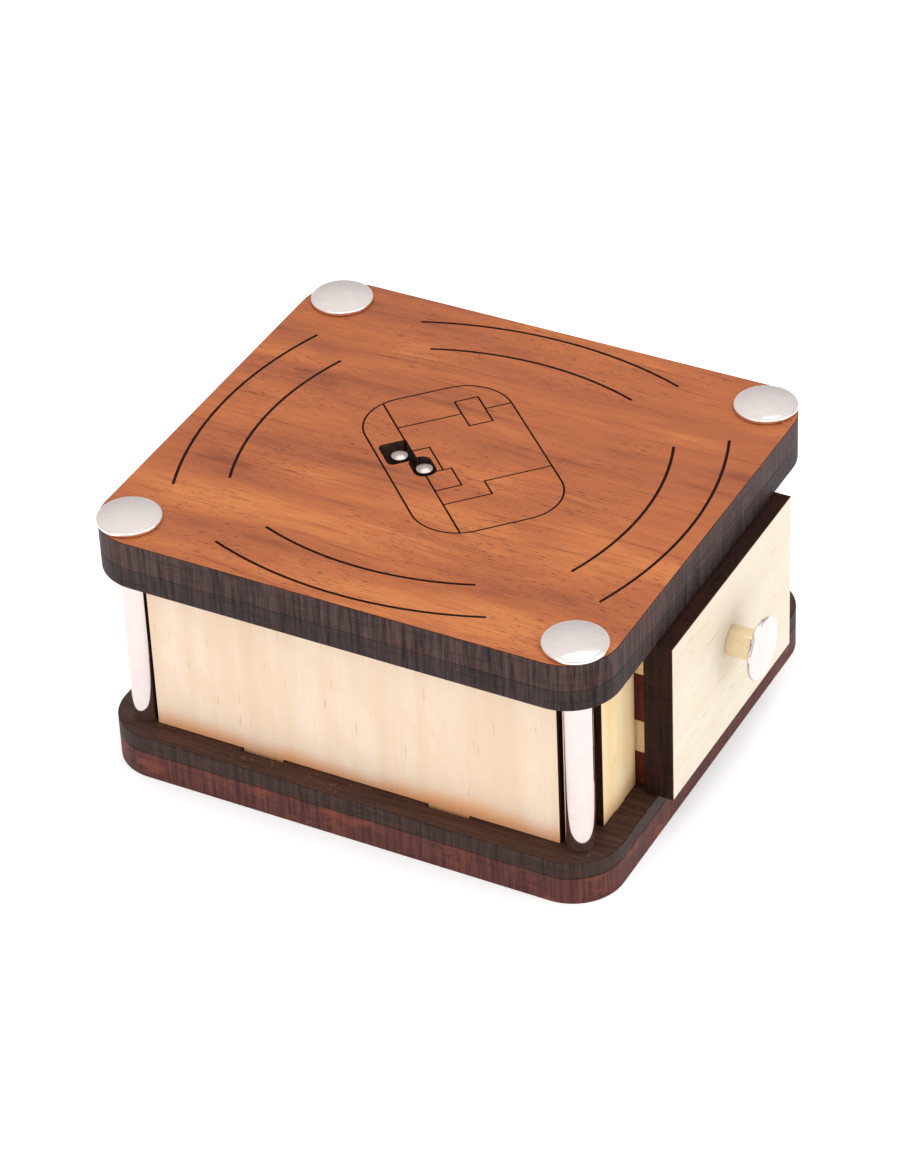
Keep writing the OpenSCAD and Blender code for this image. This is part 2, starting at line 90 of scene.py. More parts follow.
def fill_ramp(ramp: bpy.types.ColorRamp, stops: Sequence[tuple[float, str]]) -> None:
    """Puts hex colours on a colour ramp.

    Args:
        ramp: A new ramp, which has two colours.
        stops: Each colour's place from 0 to 1, and its hex digits, in order.
    """
    for element, (place, colour) in zip(list(ramp.elements), (stops[0], stops[-1])):
        element.position = place
        element.color = to_linear(colour)
    for place, colour in stops[1:-1]:
        ramp.elements.new(place).color = to_linear(colour)


def add_node(
    tree: bpy.types.NodeTree,
    kind: str,
    settings: dict[str, object] | None = None,
    inputs: dict[str | int, object] | Sequence[object] = (),
) -> bpy.types.Node:
    """Adds a node, gives it its settings, and fills or links its inputs.

    Args:
        tree: The tree that the node goes into.
        kind: The node's type name.
        settings: Attributes of the node, and under "stops" the colours of its ramp.
        inputs: A value or an output socket for each input, in order, or by name or number.

    Returns:
        The new node.
    """
    node = tree.nodes.new(kind)
    for name, value in (settings or {}).items():
        if name == "stops":
            fill_ramp(node.color_ramp, value)
        else:
            setattr(node, name, value)
    for key, value in (inputs if isinstance(inputs, dict) else dict(enumerate(inputs))).items():
        if isinstance(value, Socket):
            tree.links.new(value, node.inputs[key])
        else:
            node.inputs[key].default_value = value
    return node


class Weave:
    """A material's node tree with short ways to write the patterns that the finishes share."""

    def __init__(self, name: str) -> None:
        """Starts an empty node material.

        Args:
            name: The material's name.
        """
        self.material = bpy.data.materials.new(name)
        self.material.use_nodes = True
        self.tree = self.material.node_tree
        self.tree.nodes.clear()
        self.coords = add_node(self.tree, "ShaderNodeTexCoord").outputs["Object"]

    def add(
        self,
        kind: str,
        settings: dict[str, object] | None,
        inputs: dict[str | int, object] | Sequence[object],
        output: str | int = 0,
    ) -> Socket:
        """Adds a shader node of that kind, and gives one of its outputs."""
        return add_node(self.tree, f"ShaderNode{kind}", settings, inputs).outputs[output]

    def noise(
        self,
        per_mm: Triple,
        detail: float = 2.0,
        roughness: float = 0.5,
        coords: Socket | None = None,
        output: str = "Fac",
        turn: Triple = (0.0, 0.0, 0.0),
    ) -> Socket:
        """Noise with its own number of features per millimetre along each axis.

        Args:
            per_mm: Features per millimetre along X, Y and Z.
            detail: Octaves of finer noise.
            roughness: How strong the finer octaves are.
            coords: Coordinates in metres, the object's own if left out.
            output: Which output of the noise to give.
            turn: Degrees by which the axes are turned about X, Y and Z.

        Returns:
            The noise's output socket.
        """
        placed = self.add(
            "Mapping",
            {"vector_type": "TEXTURE"},
            {
                "Vector": coords or self.coords,
                "Rotation": [math.radians(a) for a in turn],
                "Scale": [MM / f for f in per_mm],
            },
        )
        inputs = {"Vector": placed, "Scale": 1.0, "Detail": detail, "Roughness": roughness}
        return self.add("TexNoise", None, inputs, output)

    def warped(self, per_mm: Triple, shift_mm: Triple) -> Socket:
        """The object's coordinates, shifted by slow noise so that straight grain flows.

        Args:
            per_mm: The noise's features per millimetre along each axis.
            shift_mm: The range of the shift along each axis.

        Returns:
            The shifted coordinates.
        """
        slow = self.noise(per_mm, 1.0, output="Color")
        centred = self.add("VectorMath", {"operation": "SUBTRACT"}, [slow, [0.5] * 3])
        scaled = self.add("VectorMath", TIMES, [centred, [s * MM for s in shift_mm]])
        return self.add("VectorMath", {"operation": "ADD"}, [self.coords, scaled])

    def stain(
        self,
        under: object,
        colour: str,
        pattern: Socket,
        places: tuple[float, float],
        strength: tuple[float, float],
    ) -> Socket:
        """Lays a colour over another one by a pattern.

        Args:
            under: The lower colour, linear or a socket.
            colour: The upper colour's hex digits.
            pattern: The pattern to follow.
            places: The pattern's values between which the strength changes.
            strength: How much of the upper colour shows at each of them.

        Returns:
            The new colour.
        """
        amount = self.add("MapRange", SMOOTH, [pattern, *places, *strength])
        return self.add("Mix", COLOURS, {0: amount, 6: under, 7: to_linear(colour)}, 2)

    def shade(
        self,
        relief: Socket | None = None,
        depth_mm: float = 0.0,
        relief_under: Socket | None = None,
        sheen: tuple[Socket, float, float, float, float] | None = None,
        **sockets: object,
    ) -> Material:
        """Ends the tree in one shader.

        Args:
            relief: A pattern that the surface rises with, if any.
            depth_mm: How far it rises from the pattern's 0 to its 1.
            relief_under: The normal of a coarser relief that this one lies on.
            sheen: A pattern, two of its values, and the roughness at each of them.
            **sockets: A value or socket for each other input, underscores standing for spaces.

        Returns:
            The finished material.
        """
        inputs = {name.replace("_", " "): value for name, value in sockets.items()}
        if sheen:
            inputs["Roughness"] = self.add("MapRange", SMOOTH, sheen)
        if relief:
            raised = {"Height": relief, "Distance": depth_mm * MM, "Strength": 1.0}
            if relief_under:
                raised["Normal"] = relief_under
            inputs["Normal"] = self.add("Bump", None, raised)
        surface = self.add("BsdfPrincipled", None, inputs)
        add_node(self.tree, "ShaderNodeOutputMaterial", inputs={"Surface": surface})
        return self.material


# ---------------------------------------------------------------- finishes

# The index of refraction of oiled, stained and bare wood alike
WOOD_IOR = 1.5


@dataclass(frozen=True)
class FiguredVeneer:
    """Oiled red-brown veneer on the lid: flowing dark figure, fine streaks and short open pores along Y.

    Patterns are in features per millimetre across the sheet, along the grain and through it.
    """

    name: str = "oiled_red_brown_veneer"
    dark: str = "#79391F"
    middle: str = "#A65830"
    light: str = "#B66433"
    glow: str = "#CC7A41"
    pore: str = "#3A180C"
    # The tone rises by this much for each millimetre along X, so the left side is the paler one
    paler_per_mm: float = -0.001
    # The grain wanders by up to 8 mm to each side over some 50 mm
    wander: Triple = (0.022, 0.012, 0.022)
    wander_mm: Triple = (16.0, 6.0, 0.0)
    # Growth bands about 13 mm wide that run for 80 mm
    figure: Triple = (0.075, 0.012, 0.05)
    # Streaks about 1.7 mm wide that run for 50 mm
    streaks: Triple = (0.6, 0.02, 0.2)
    # Fibres about 0.5 mm wide
    fibres: Triple = (2.2, 0.09, 0.5)
    # Real pores are hairs 0.1 to 0.2 mm wide, too fine to show, so these are 0.3 mm wide and 3 mm long
    pores: Triple = (3.2, 0.34, 0.5)
    pore_strength: float = 0.75
    # Pores crowd together in patches 20 to 30 mm across
    crowds: Triple = (0.045, 0.03, 0.05)
    relief_mm: float = 0.05

    def build(self) -> Material:
        """Writes the material.

        Returns:
            The material.
        """
        w = Weave(self.name)
        flowing = w.warped(self.wander, self.wander_mm)
        figure = w.noise(self.figure, 4.0, 0.6, flowing)
        across = w.add("SeparateXYZ", None, [w.coords], "X")
        toned = w.add("Math", {"operation": "MULTIPLY_ADD"}, [across, self.paler_per_mm / MM, figure])
        tones = [(0.3, self.dark), (0.42, self.middle), (0.54, self.light), (0.68, self.glow)]
        ground = w.add("ValToRGB", {"stops": tones}, [toned])
        streaks = w.noise(self.streaks, 5.0, 0.65, flowing)
        streaked = w.stain(ground, self.dark, streaks, (0.54, 0.7), (0.0, 0.6))
        fine = w.noise(self.fibres, 3.0, 0.65, flowing)
        tinted = w.stain(streaked, self.middle, fine, (0.34, 0.6), (0.5, 0.0))
        crowded = w.add("MapRange", SMOOTH, [w.noise(self.crowds, 1.0), 0.36, 0.6, 0.25, 1.0])
        single = w.add("MapRange", SMOOTH, [w.noise(self.pores, 2.0, 0.6), 0.6, 0.7])
        pores = w.add("Math", TIMES, [single, crowded])
        amount = w.add("Math", TIMES, [pores, self.pore_strength])
        colour = w.add("Mix", COLOURS, {0: amount, 6: tinted, 7: to_linear(self.pore)}, 2)
        fibres = w.add("Math", TIMES, [fine, 0.35])
        return w.shade(
            relief=w.add("Math", {"operation": "SUBTRACT"}, [fibres, pores]),
            depth_mm=self.relief_mm,
            sheen=(fine, 0.3, 0.7, 0.4, 0.54),
            Base_Color=colour,
            IOR=WOOD_IOR,
            Specular_IOR_Level=0.3,
        )


@dataclass(frozen=True)
class CharredEdge:
    """A laser-cut edge: charred wood with upright ribs from the beam, paler where the char has rubbed off."""

    name: str
    char: str
    ash: str
    ember: str
    ember_share: float = 0.3
    gloss: float = 0.15
    # The beam's real ribs are 0.1 to 0.2 mm apart, too fine to show, so these are about 1.2 mm apart
    ribs: Triple = (0.85, 0.85, 0.05)
    rib_depth_mm: float = 0.22
    # The plies show as level bands about 1.1 mm thick
    plies: Triple = (0.06, 0.06, 0.9)
    # Rubbed patches about 9 mm long
    rubs: Triple = (0.11, 0.11, 0.2)

    def build(self) -> Material:
        """Writes the material.

        Returns:
            The material.
        """
        w = Weave(self.name)
        ribs = w.noise(self.ribs, 4.0, 0.68)
        ground = w.add("ValToRGB", {"stops": [(0.36, self.char), (0.62, self.ash)]}, [ribs])
        banded = w.stain(ground, self.char, w.noise(self.plies, 2.0, 0.5), (0.5, 0.75), (0.0, 0.55))
        rubs = w.noise(self.rubs, 3.0, 0.6)
        return w.shade(
            relief=ribs,
            depth_mm=self.rib_depth_mm,
            sheen=(ribs, 0.3, 0.7, 0.48, 0.72),
            Base_Color=w.stain(banded, self.ember, rubs, (0.52, 0.7), (0.0, self.ember_share)),
            IOR=WOOD_IOR,
            Specular_IOR_Level=self.gloss,
        )


@dataclass(frozen=True)
class SmokedPly:
    """Dark stained face of the base and of the lid's core: close grain along Y with worn tan flecks."""

    name: str
    dark: str
    light: str
    fleck: str
    # Grain lines about 0.9 mm apart, in a slow wander
    grain: Triple = (1.1, 0.05, 0.3)
    wander: Triple = (0.03, 0.01, 0.03)
    wander_mm: Triple = (8.0, 3.0, 0.0)
    # Flecks 1 to 2 mm long, in patches about 17 mm across
    flecks: Triple = (1.1, 0.6, 0.8)
    patches: Triple = (0.06, 0.06, 0.06)
    relief_mm: float = 0.06

    def build(self) -> Material:
        """Writes the material.

        Returns:
            The material.
        """
        w = Weave(self.name)
        grain = w.noise(self.grain, 4.0, 0.6, w.warped(self.wander, self.wander_mm))
        ground = w.add("ValToRGB", {"stops": [(0.32, self.dark), (0.68, self.light)]}, [grain])
        worn = w.add("MapRange", SMOOTH, [w.noise(self.patches, 2.0), 0.45, 0.6])
        single = w.add("MapRange", SMOOTH, [w.noise(self.flecks, 1.0), 0.66, 0.72])
        amount = w.add("Math", TIMES, [w.add("Math", TIMES, [single, worn]), 0.6])
        return w.shade(
            relief=grain,
            depth_mm=self.relief_mm,
            Base_Color=w.add("Mix", COLOURS, {0: amount, 6: ground, 7: to_linear(self.fleck)}, 2),
            Roughness=0.6,
            IOR=WOOD_IOR,
            Specular_IOR_Level=0.25,
        )


class Grain(Enum):
    """Which way a pale veneer's grain runs: how close its lines are along X, Y and Z."""

    UPRIGHT = (1.0, 1.0, 0.035)
    ACROSS = (0.035, 1.0, 1.0)
    LENGTHWISE = (1.0, 0.035, 1.0)


@dataclass(frozen=True)
class PaleVeneer:
    """Pale veneer of the walls and the drawer: faint grain, soft bands, and the laser's smoke at the foot."""

    name: str
    cream: str
    shade: str
    smoke: str
    grain: Grain
    smoke_foot_mm: float = 0.0
    smoke_height_mm: float = 0.0
    smoke_strength: float = 0.0
    mark: str = "#B5875C"
    # Features per millimetre across the grain: bands 8 mm wide, lines 0.6 mm apart and dashes 0.8 mm wide
    bands_per_mm: float = 0.12
    lines_per_mm: float = 1.6
    dashes_per_mm: float = 1.2
    # The curl's slanting waves, about 8 mm wide
    curl: Triple = (0.12, 0.12, 0.035)
    curl_turn: Triple = (-24.0, 24.0, 0.0)
    # The smoke's upper edge wanders over some 20 mm, by this share of the smoke's height
    drift: Triple = (0.05, 0.05, 0.03)
    drift_share: float = 1.2
    relief_mm: float = 0.025

    def smoked(self, w: Weave, under: Socket) -> Socket:
        """Lays smoke over the foot of a wall, fading upwards.

        Args:
            w: The material that it goes into.
            under: The clean veneer's colour.

        Returns:
            The smoked colour.
        """
        tall = self.smoke_height_mm * MM
        rise = w.add("SeparateXYZ", None, [w.coords], "Z")
        drift = [w.noise(self.drift, 2.0), tall * self.drift_share, rise]
        ragged = w.add("Math", {"operation": "MULTIPLY_ADD"}, drift)
        middle = (self.smoke_foot_mm + self.smoke_height_mm * self.drift_share) * MM
        places = (middle - tall * 0.7, middle + tall * 0.5)
        return w.stain(under, self.smoke, ragged, places, (self.smoke_strength, 0.0))

    def build(self) -> Material:
        """Writes the material.

        Returns:
            The material.
        """
        w = Weave(self.name)
        along = self.grain.value
        flowing = w.warped(tuple(0.03 * min(1.0, a + 0.3) for a in along), (5.0, 5.0, 5.0))
        bands = w.noise(tuple(self.bands_per_mm * a for a in along), 3.0, 0.55, flowing)
        fine = w.noise(tuple(self.lines_per_mm * a for a in along), 3.0, 0.6, flowing)
        ground = w.add("ValToRGB", {"stops": [(0.3, self.shade), (0.6, self.cream)]}, [bands])
        grained = w.stain(ground, self.shade, fine, (0.45, 0.75), (0.0, 0.35))
        curl = w.noise(self.curl, 2.0, 0.5, flowing, turn=self.curl_turn)
        curled = w.stain(grained, self.shade, curl, (0.42, 0.62), (0.0, 0.4))
        dashes = w.noise(tuple(self.dashes_per_mm * a + 0.08 for a in along), 1.0)
        colour = w.stain(curled, self.mark, dashes, (0.7, 0.78), (0.0, 0.4))
        return w.shade(
            relief=fine,
            depth_mm=self.relief_mm,
            sheen=(fine, 0.3, 0.7, 0.5, 0.62),
            Base_Color=self.smoked(w, colour) if self.smoke_strength else colour,
            IOR=WOOD_IOR,
            Specular_IOR_Level=0.3,
        )


@dataclass(frozen=True)
class PlatedMetal:
    """Bright metal: a mirror or satin skin with faint waves from polishing and hairline marks of the tool."""

    name: str
    tint: str
    smooth: float
    rough: float
    wave_mm: float
    # Real hairlines are hundredths of a millimetre apart, too fine to show, so these are 0.2 to 2 mm apart
    hair: Triple = (0.5, 0.5, 0.5)
    hair_mm: float = 0.002
    # Waves about 8 mm long, and a blush of handling about 3 mm across
    waves: Triple = (0.12, 0.12, 0.12)
    blush: Triple = (0.3, 0.3, 0.3)
    handled: str = "#8C8781"

    def build(self) -> Material:
        """Writes the material.

        Returns:
            The material.
        """
        w = Weave(self.name)
        waves = {"Height": w.noise(self.waves, 1.0), "Distance": self.wave_mm * MM, "Strength": 1.0}
        blush = w.noise(self.blush, 3.0)
        return w.shade(
            relief=w.noise(self.hair, 3.0, 0.6),
            depth_mm=self.hair_mm,
            relief_under=w.add("Bump", None, waves),
            sheen=(blush, 0.35, 0.65, self.smooth, self.rough),
            Base_Color=w.stain(to_linear(self.tint), self.handled, blush, (0.3, 0.7), (0.0, 0.06)),
            Metallic=1.0,
        )


class Finishes:
    """Every finish of the box, built once and shared by its pieces."""

    def __init__(self) -> None:
        """Builds all the materials."""
        # Oiled veneer, planed and rubbed: warm flowing figure under a soft sheen
        self.veneer = FiguredVeneer().build()
        # Edges cut by the laser. A slow cut leaves grey-black char: the lid, its core and the floor board
        self.lid_edge = CharredEdge("charred_lid_edge", "#221514", "#5A4542", "#5E372B", 0.3).build()
        self.core_edge = CharredEdge("charred_lid_core_edge", "#1C1313", "#493B39", "#4E3028", 0.25).build()
        self.base_edge = CharredEdge("charred_base_edge", "#281A17", "#4A3732", "#5E3626", 0.3).build()
        # The foot board is of a redder wood, which shows through its char as wine red
        self.foot_edge = CharredEdge("charred_foot_edge", "#43211F", "#6C403A", "#8E4A36", 0.5).build()
        # Thin boards are cut fast: brown-black ends on the walls, toasted red-brown ends on the fingers
        self.wall_end = CharredEdge("charred_wall_end", "#1E0D0A", "#3A1A12", "#6A2A16", 0.5).build()
        self.finger_end = CharredEdge("toasted_finger_end", "#4A1E18", "#6E3024", "#7E3A28", 0.4).build()
        self.drawer_edge = CharredEdge(
            "charred_drawer_edge", "#1C0D0B", "#341E18", "#46200F", 0.4, 0.12
        ).build()
        # Rims where the char is worn thin: a fine toasted line between a face and its edge
        self.drawer_rim = CharredEdge("toasted_drawer_rim", "#3E150C", "#5A2412", "#6A2C16", 0.4).build()
        self.lid_rim = CharredEdge("toasted_lid_rim", "#30130C", "#4A2013", "#5E2A18", 0.4).build()
        # Burnt floors of the engraved lines: matte, nearly black. The sunk tiles wear it too, as painted shade
        # of the pockets that they sit in
        self.groove_and_pocket_shade = CharredEdge("scorched_groove", "#1A0C08", "#2E150D", "#3A1C11", 0.3, 0.1).build()
        # Plywood faces stained dark and smoked: close brown grain, worn to tan in flecks
        self.base_face = SmokedPly("smoked_base_face", "#332019", "#56382D", "#7A5638").build()
        self.core_face = SmokedPly("smoked_lid_core_face", "#33251F", "#4E3B30", "#6E5638").build()
        # Bare sanded veneer: matte cream with faint upright grain, tanned by smoke just over the base
        self.wall = PaleVeneer(
            "pale_wall_veneer", "#F9E1CB", "#F0D3B4", "#FF9F48", Grain.UPRIGHT, 13.0, 6.0, 0.66
        ).build()
        self.front_wall = PaleVeneer(
            "warm_front_veneer", "#FFEAC0", "#F8D6A0", "#D08C48", Grain.UPRIGHT, 13.0, 7.0, 0.55
        ).build()
        # The same sanded veneer on the drawer: cooler cream on its front, honey-coloured inside
        self.drawer_front = PaleVeneer(
            "cream_drawer_veneer", "#E6DCCB", "#E2D2BA", "#CDA678", Grain.ACROSS
        ).build()
        self.drawer_board = PaleVeneer(
            "pale_drawer_board", "#F3D9AE", "#E3BF8A", "#9C6432", Grain.LENGTHWISE
        ).build()
        self.drawer_end = PaleVeneer(
            "pale_drawer_end_board", "#F3D9AE", "#E3BF8A", "#9C6432", Grain.ACROSS
        ).build()
        # Chrome plate, buffed: clear reflections, bent a little by the plate's waves
        self.chrome = PlatedMetal("polished_chrome_tube", "#E2D5D3", 0.05, 0.1, 0.06).build()
        self.cap_chrome = PlatedMetal("domed_chrome_cap", "#F2E7E3", 0.06, 0.12, 0.06).build()
        # Steel and brass as turned on a lathe: satin, with hairlines round the axis
        self.steel = PlatedMetal(
            "turned_bright_steel", "#BAAEA7", 0.16, 0.26, 0.01, (0.6, 0.6, 4.0), 0.004
        ).build()
        self.brass = PlatedMetal("turned_brass", "#F6E6C8", 0.08, 0.16, 0.01, (0.4, 5.0, 0.4), 0.006).build()


# ---------------------------------------------------------------- making meshes


def outward(shape: Shape) -> None:
    """Turns all faces of a closed shape outwards."""
    bmesh.ops.remove_doubles(shape, verts=shape.verts, dist=WELD_MM * MM)
    bmesh.ops.recalc_face_normals(shape, faces=shape.faces)


def finished(name: str, shape: Shape, materials: Sequence[Material]) -> bpy.types.Object:
    """Makes a smooth-shaded object at the origin from a shape whose place is in its mesh.

    Args:
        name: The piece's name.
        shape: The shape, which is used up.
        materials: The piece's materials, in slot order.

    Returns:
        The new object, in the scene.
    """
    mesh = bpy.data.meshes.new(name)
    shape.to_mesh(mesh)
    shape.free()
    for material in materials:
        mesh.materials.append(material)
    mesh.shade_smooth()
    mesh.set_sharp_from_angle(angle=CRISP_ANGLE)
    made = bpy.data.objects.new(name, mesh)
    bpy.context.scene.collection.objects.link(made)
    return made


def seated(piece: bpy.types.Object, body: str, nodes: Sequence[str]) -> None:
    """Lets a piece ride on its body in place of its CAD nodes, and reports it.

    Args:
        piece: The finished piece.
        body: The body that it moves with.
        nodes: The CAD nodes that it stands for.
    """
    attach(piece, body)
    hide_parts(*nodes)
    log.info("%s: %d faces, on %s", piece.name, len(piece.data.polygons), body)


def soften(piece: bpy.types.Object, width_mm: float, rim_slot: int = -1) -> None:
    """Rounds a piece's sharp edges.

    Args:
        piece: The piece.
        width_mm: How wide the rounding is.
        rim_slot: The slot of the finish that the rounding wears, or -1 for its neighbour's.
    """
    bevel = piece.modifiers.new("rounded_edges", "BEVEL")
    bevel.width = width_mm * MM
    bevel.segments = 2
    bevel.limit_method = "ANGLE"
    bevel.angle_limit = ROUNDED_ANGLE
    bevel.harden_normals = True
    bevel.material = rim_slot


def merged_copy(node: str) -> Shape:
    """Copies a CAD node's shape, with its loose triangles merged and its flat faces made whole.

    Args:
        node: The CAD node's name.

    Returns:
        The copy.
    """
    shape = bmesh.new()
    shape.from_mesh(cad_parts[node].data)
    bmesh.ops.remove_doubles(shape, verts=shape.verts, dist=CAD_WELD_MM * MM)
    bmesh.ops.dissolve_limit(
        shape, angle_limit=FLAT_ANGLE, verts=shape.verts, edges=shape.edges, use_dissolve_boundaries=False
    )
    return shape


def turned(profile: Sequence[tuple[float, float]], steps: int = 96, bored: bool = False) -> Shape:
    """Turns a profile round Z, as on a lathe.

    Args:
        profile: Radius and height in millimetres, from one end to the other.
        steps: Sides round the axis.
        bored: Whether the profile's last point joins its first one, round a bore.

    Returns:
        The closed shape, on the Z axis.
    """
    shape = bmesh.new()
    turns = [2 * math.pi * i / steps for i in range(steps)]
    rings = []
    for radius, height in profile:
        if radius == 0:
            rings.append([shape.verts.new((0, 0, height * MM))] * steps)
            continue
        ring = [(radius * math.cos(t) * MM, radius * math.sin(t) * MM, height * MM) for t in turns]
        rings.append([shape.verts.new(point) for point in ring])
    pairs = list(zip(rings, rings[1:])) + ([(rings[-1], rings[0])] if bored else [])
    for low, high in pairs:
        for i in range(steps):
            j = (i + 1) % steps
            corner_points = list(dict.fromkeys((low[i], low[j], high[j], high[i])))
            if len(corner_points) > 2:
                shape.faces.new(corner_points)
    outward(shape)
    return shape


def arc(
    centre: tuple[float, float], radius: float, start: float, end: float, steps: int
) -> list[tuple[float, float]]:
    """Points of a circular arc in a profile, angles in degrees from the outward direction."""
    angles = [math.radians(start + (end - start) * i / steps) for i in range(steps + 1)]
    return [(centre[0] + radius * math.cos(a), centre[1] + radius * math.sin(a)) for a in angles]


@dataclass(frozen=True)
class Dome:
    """The crown of a turned head in millimetres: a low dome, and the rounded rim that it runs into."""

    rise: float
    rim: float = 0.42
    # How far inside the head's wall the dome ends, and the slope in degrees at which the rim takes over
    inset: float = 0.5
    lean: float = 78
    steps: int = 14
    rim_steps: int = 5

    def profile(self, radius: float, top: float) -> list[tuple[float, float]]:
        """The crown's points from its middle out to the wall.

        Args:
            radius: The head's radius.
            top: The height of the crown's middle.

        Returns:
            Radius and height of each point.
        """
        ball = (radius * radius + self.rise * self.rise) / (2 * self.rise)
        reaches = [(radius - self.inset) * i / self.steps for i in range(self.steps + 1)]
        slope = [(reach, top - ball + math.sqrt(ball**2 - reach**2)) for reach in reaches]
        centre = (radius - self.rim, slope[-1][1] - self.rim)
        return [*slope, *arc(centre, self.rim, self.lean, 0, self.rim_steps)]


def as_plain_mesh(name: str, source: bpy.types.Object) -> bpy.types.Object:
    """Fixes the result of an object's nodes in a plain new object, and removes the source.

    Args:
        name: The new object's name.
        source: The object that carries the nodes.

    Returns:
        The plain object, in the scene.
    """
    evaluated = source.evaluated_get(bpy.context.evaluated_depsgraph_get())
    mesh = bpy.data.meshes.new_from_object(evaluated)
    mesh.name = name
    mesh.set_sharp_from_angle(angle=CRISP_ANGLE)
    bpy.data.objects.remove(source)
    made = bpy.data.objects.new(name, mesh)
    bpy.context.scene.collection.objects.link(made)
    return made


# ---------------------------------------------------------------- node trees for what repeats


class PartTree:
    """A Geometry Nodes tree with named inputs, run once on an object and then made plain."""

    def __init__(self, name: str, sizes: dict[str, str]) -> None:
        """Starts the tree with a shape input and one input for each size.

        Args:
            name: The tree's name.
            sizes: Each further input's name and socket type.
        """
        self.tree = bpy.data.node_groups.new(name, "GeometryNodeTree")
        face = self.tree.interface
        face.new_socket("Shape", in_out="OUTPUT", socket_type="NodeSocketGeometry")
        face.new_socket("Shape", in_out="INPUT", socket_type="NodeSocketGeometry")
        self.sockets = {}
        for size, kind in sizes.items():
            self.sockets[size] = face.new_socket(size, in_out="INPUT", socket_type=kind).identifier
        self.given = add_node(self.tree, "NodeGroupInput").outputs

    def add(self, kind: str, settings: dict[str, object] | None = None, **inputs: object) -> bpy.types.Node:
        """Adds a geometry node, underscores in its inputs' names standing for spaces."""
        return add_node(self.tree, kind, settings, {k.replace("_", " "): v for k, v in inputs.items()})

    def end(self, shape: Socket) -> None:
        """Ends the tree: instances made real, then the finish set.

        Args:
            shape: The geometry to end with.
        """
        real = self.add("GeometryNodeRealizeInstances", Geometry=shape).outputs[0]
        dressed = self.add("GeometryNodeSetMaterial", Geometry=real, Material=self.given["Finish"]).outputs[0]
        add_node(self.tree, "NodeGroupOutput", inputs={"Shape": dressed})

    def run(self, name: str, base: bpy.types.Object, values: dict[str, object]) -> bpy.types.Object:
        """Runs the tree on an object with these values.

        Args:
            name: The name of the piece that results.
            base: The object that the tree starts from, which is used up.
            values: A value for each named input.

        Returns:
            The plain piece.
        """
        modifier = base.modifiers.new("tree", "NODES")
        modifier.node_group = self.tree
        for size, value in values.items():
            modifier[self.sockets[size]] = value
        return as_plain_mesh(name, base)


def corner_tree() -> PartTree:
    """Writes a tree that stands a part at each of the four pillar places, each turned by chance.

    Returns:
        The tree.
    """
    part = PartTree(
        "at_four_corners",
        {
            "Spacing X": "NodeSocketFloat",
            "Spacing Y": "NodeSocketFloat",
            "Most turn": "NodeSocketFloat",
            "Seed": "NodeSocketInt",
            "Finish": "NodeSocketMaterial",
        },
    )
    places = part.add(
        "GeometryNodeMeshGrid",
        Size_X=part.given["Spacing X"],
        Size_Y=part.given["Spacing Y"],
        Vertices_X=2,
        Vertices_Y=2,
    ).outputs["Mesh"]
    turn = add_node(
        part.tree,
        "FunctionNodeRandomValue",
        {"data_type": "FLOAT"},
        {2: 0.0, 3: part.given["Most turn"], "Seed": part.given["Seed"]},
    ).outputs[1]
    upright = part.add("ShaderNodeCombineXYZ", Z=turn).outputs[0]
    one = part.given["Shape"]
    stood = part.add("GeometryNodeInstanceOnPoints", Points=places, Instance=one, Rotation=upright).outputs[0]
    part.end(stood)
    return part


def thread_tree() -> PartTree:
    """Writes a tree that winds one sharp ridge round a screw's core, like a rolled thread.

    Returns:
        The tree.
    """
    part = PartTree(
        "wound_thread",
        {
            "Turns": "NodeSocketFloat",
            "Root radius": "NodeSocketFloat",
            "Length": "NodeSocketFloat",
            "Ridge": "NodeSocketFloat",
            "Lift": "NodeSocketFloat",
            "Finish": "NodeSocketMaterial",
        },
    )
    path = part.add(
        "GeometryNodeCurveSpiral",
        Resolution=40,
        Rotations=part.given["Turns"],
        Start_Radius=part.given["Root radius"],
        End_Radius=part.given["Root radius"],
        Height=part.given["Length"],
    ).outputs[0]
    ridge = part.add("GeometryNodeCurvePrimitiveCircle", Resolution=4, Radius=part.given["Ridge"]).outputs[0]
    wound = part.add("GeometryNodeCurveToMesh", Curve=path, Profile_Curve=ridge, Fill_Caps=True).outputs[0]
    lift = part.add("ShaderNodeCombineXYZ", Z=part.given["Lift"]).outputs[0]
    lifted = part.add("GeometryNodeTransform", Geometry=wound, Translation=lift).outputs[0]
    both = add_node(part.tree, "GeometryNodeJoinGeometry")
    part.tree.links.new(lifted, both.inputs[0])
    part.tree.links.new(part.given["Shape"], both.inputs[0])
    part.end(both.outputs[0])
    return part


# ---------------------------------------------------------------- boards


class Sheet(Enum):
    """The axis that a board's two broad faces look along."""

    X = 0
    Y = 1
    Z = 2


@dataclass(frozen=True)
class Dress:
    """What a board wears: a slot name, and the finishes of its faces, its cut edges and its rims."""

    slot: str
    face: Material
    edge: Material
    rim: Material


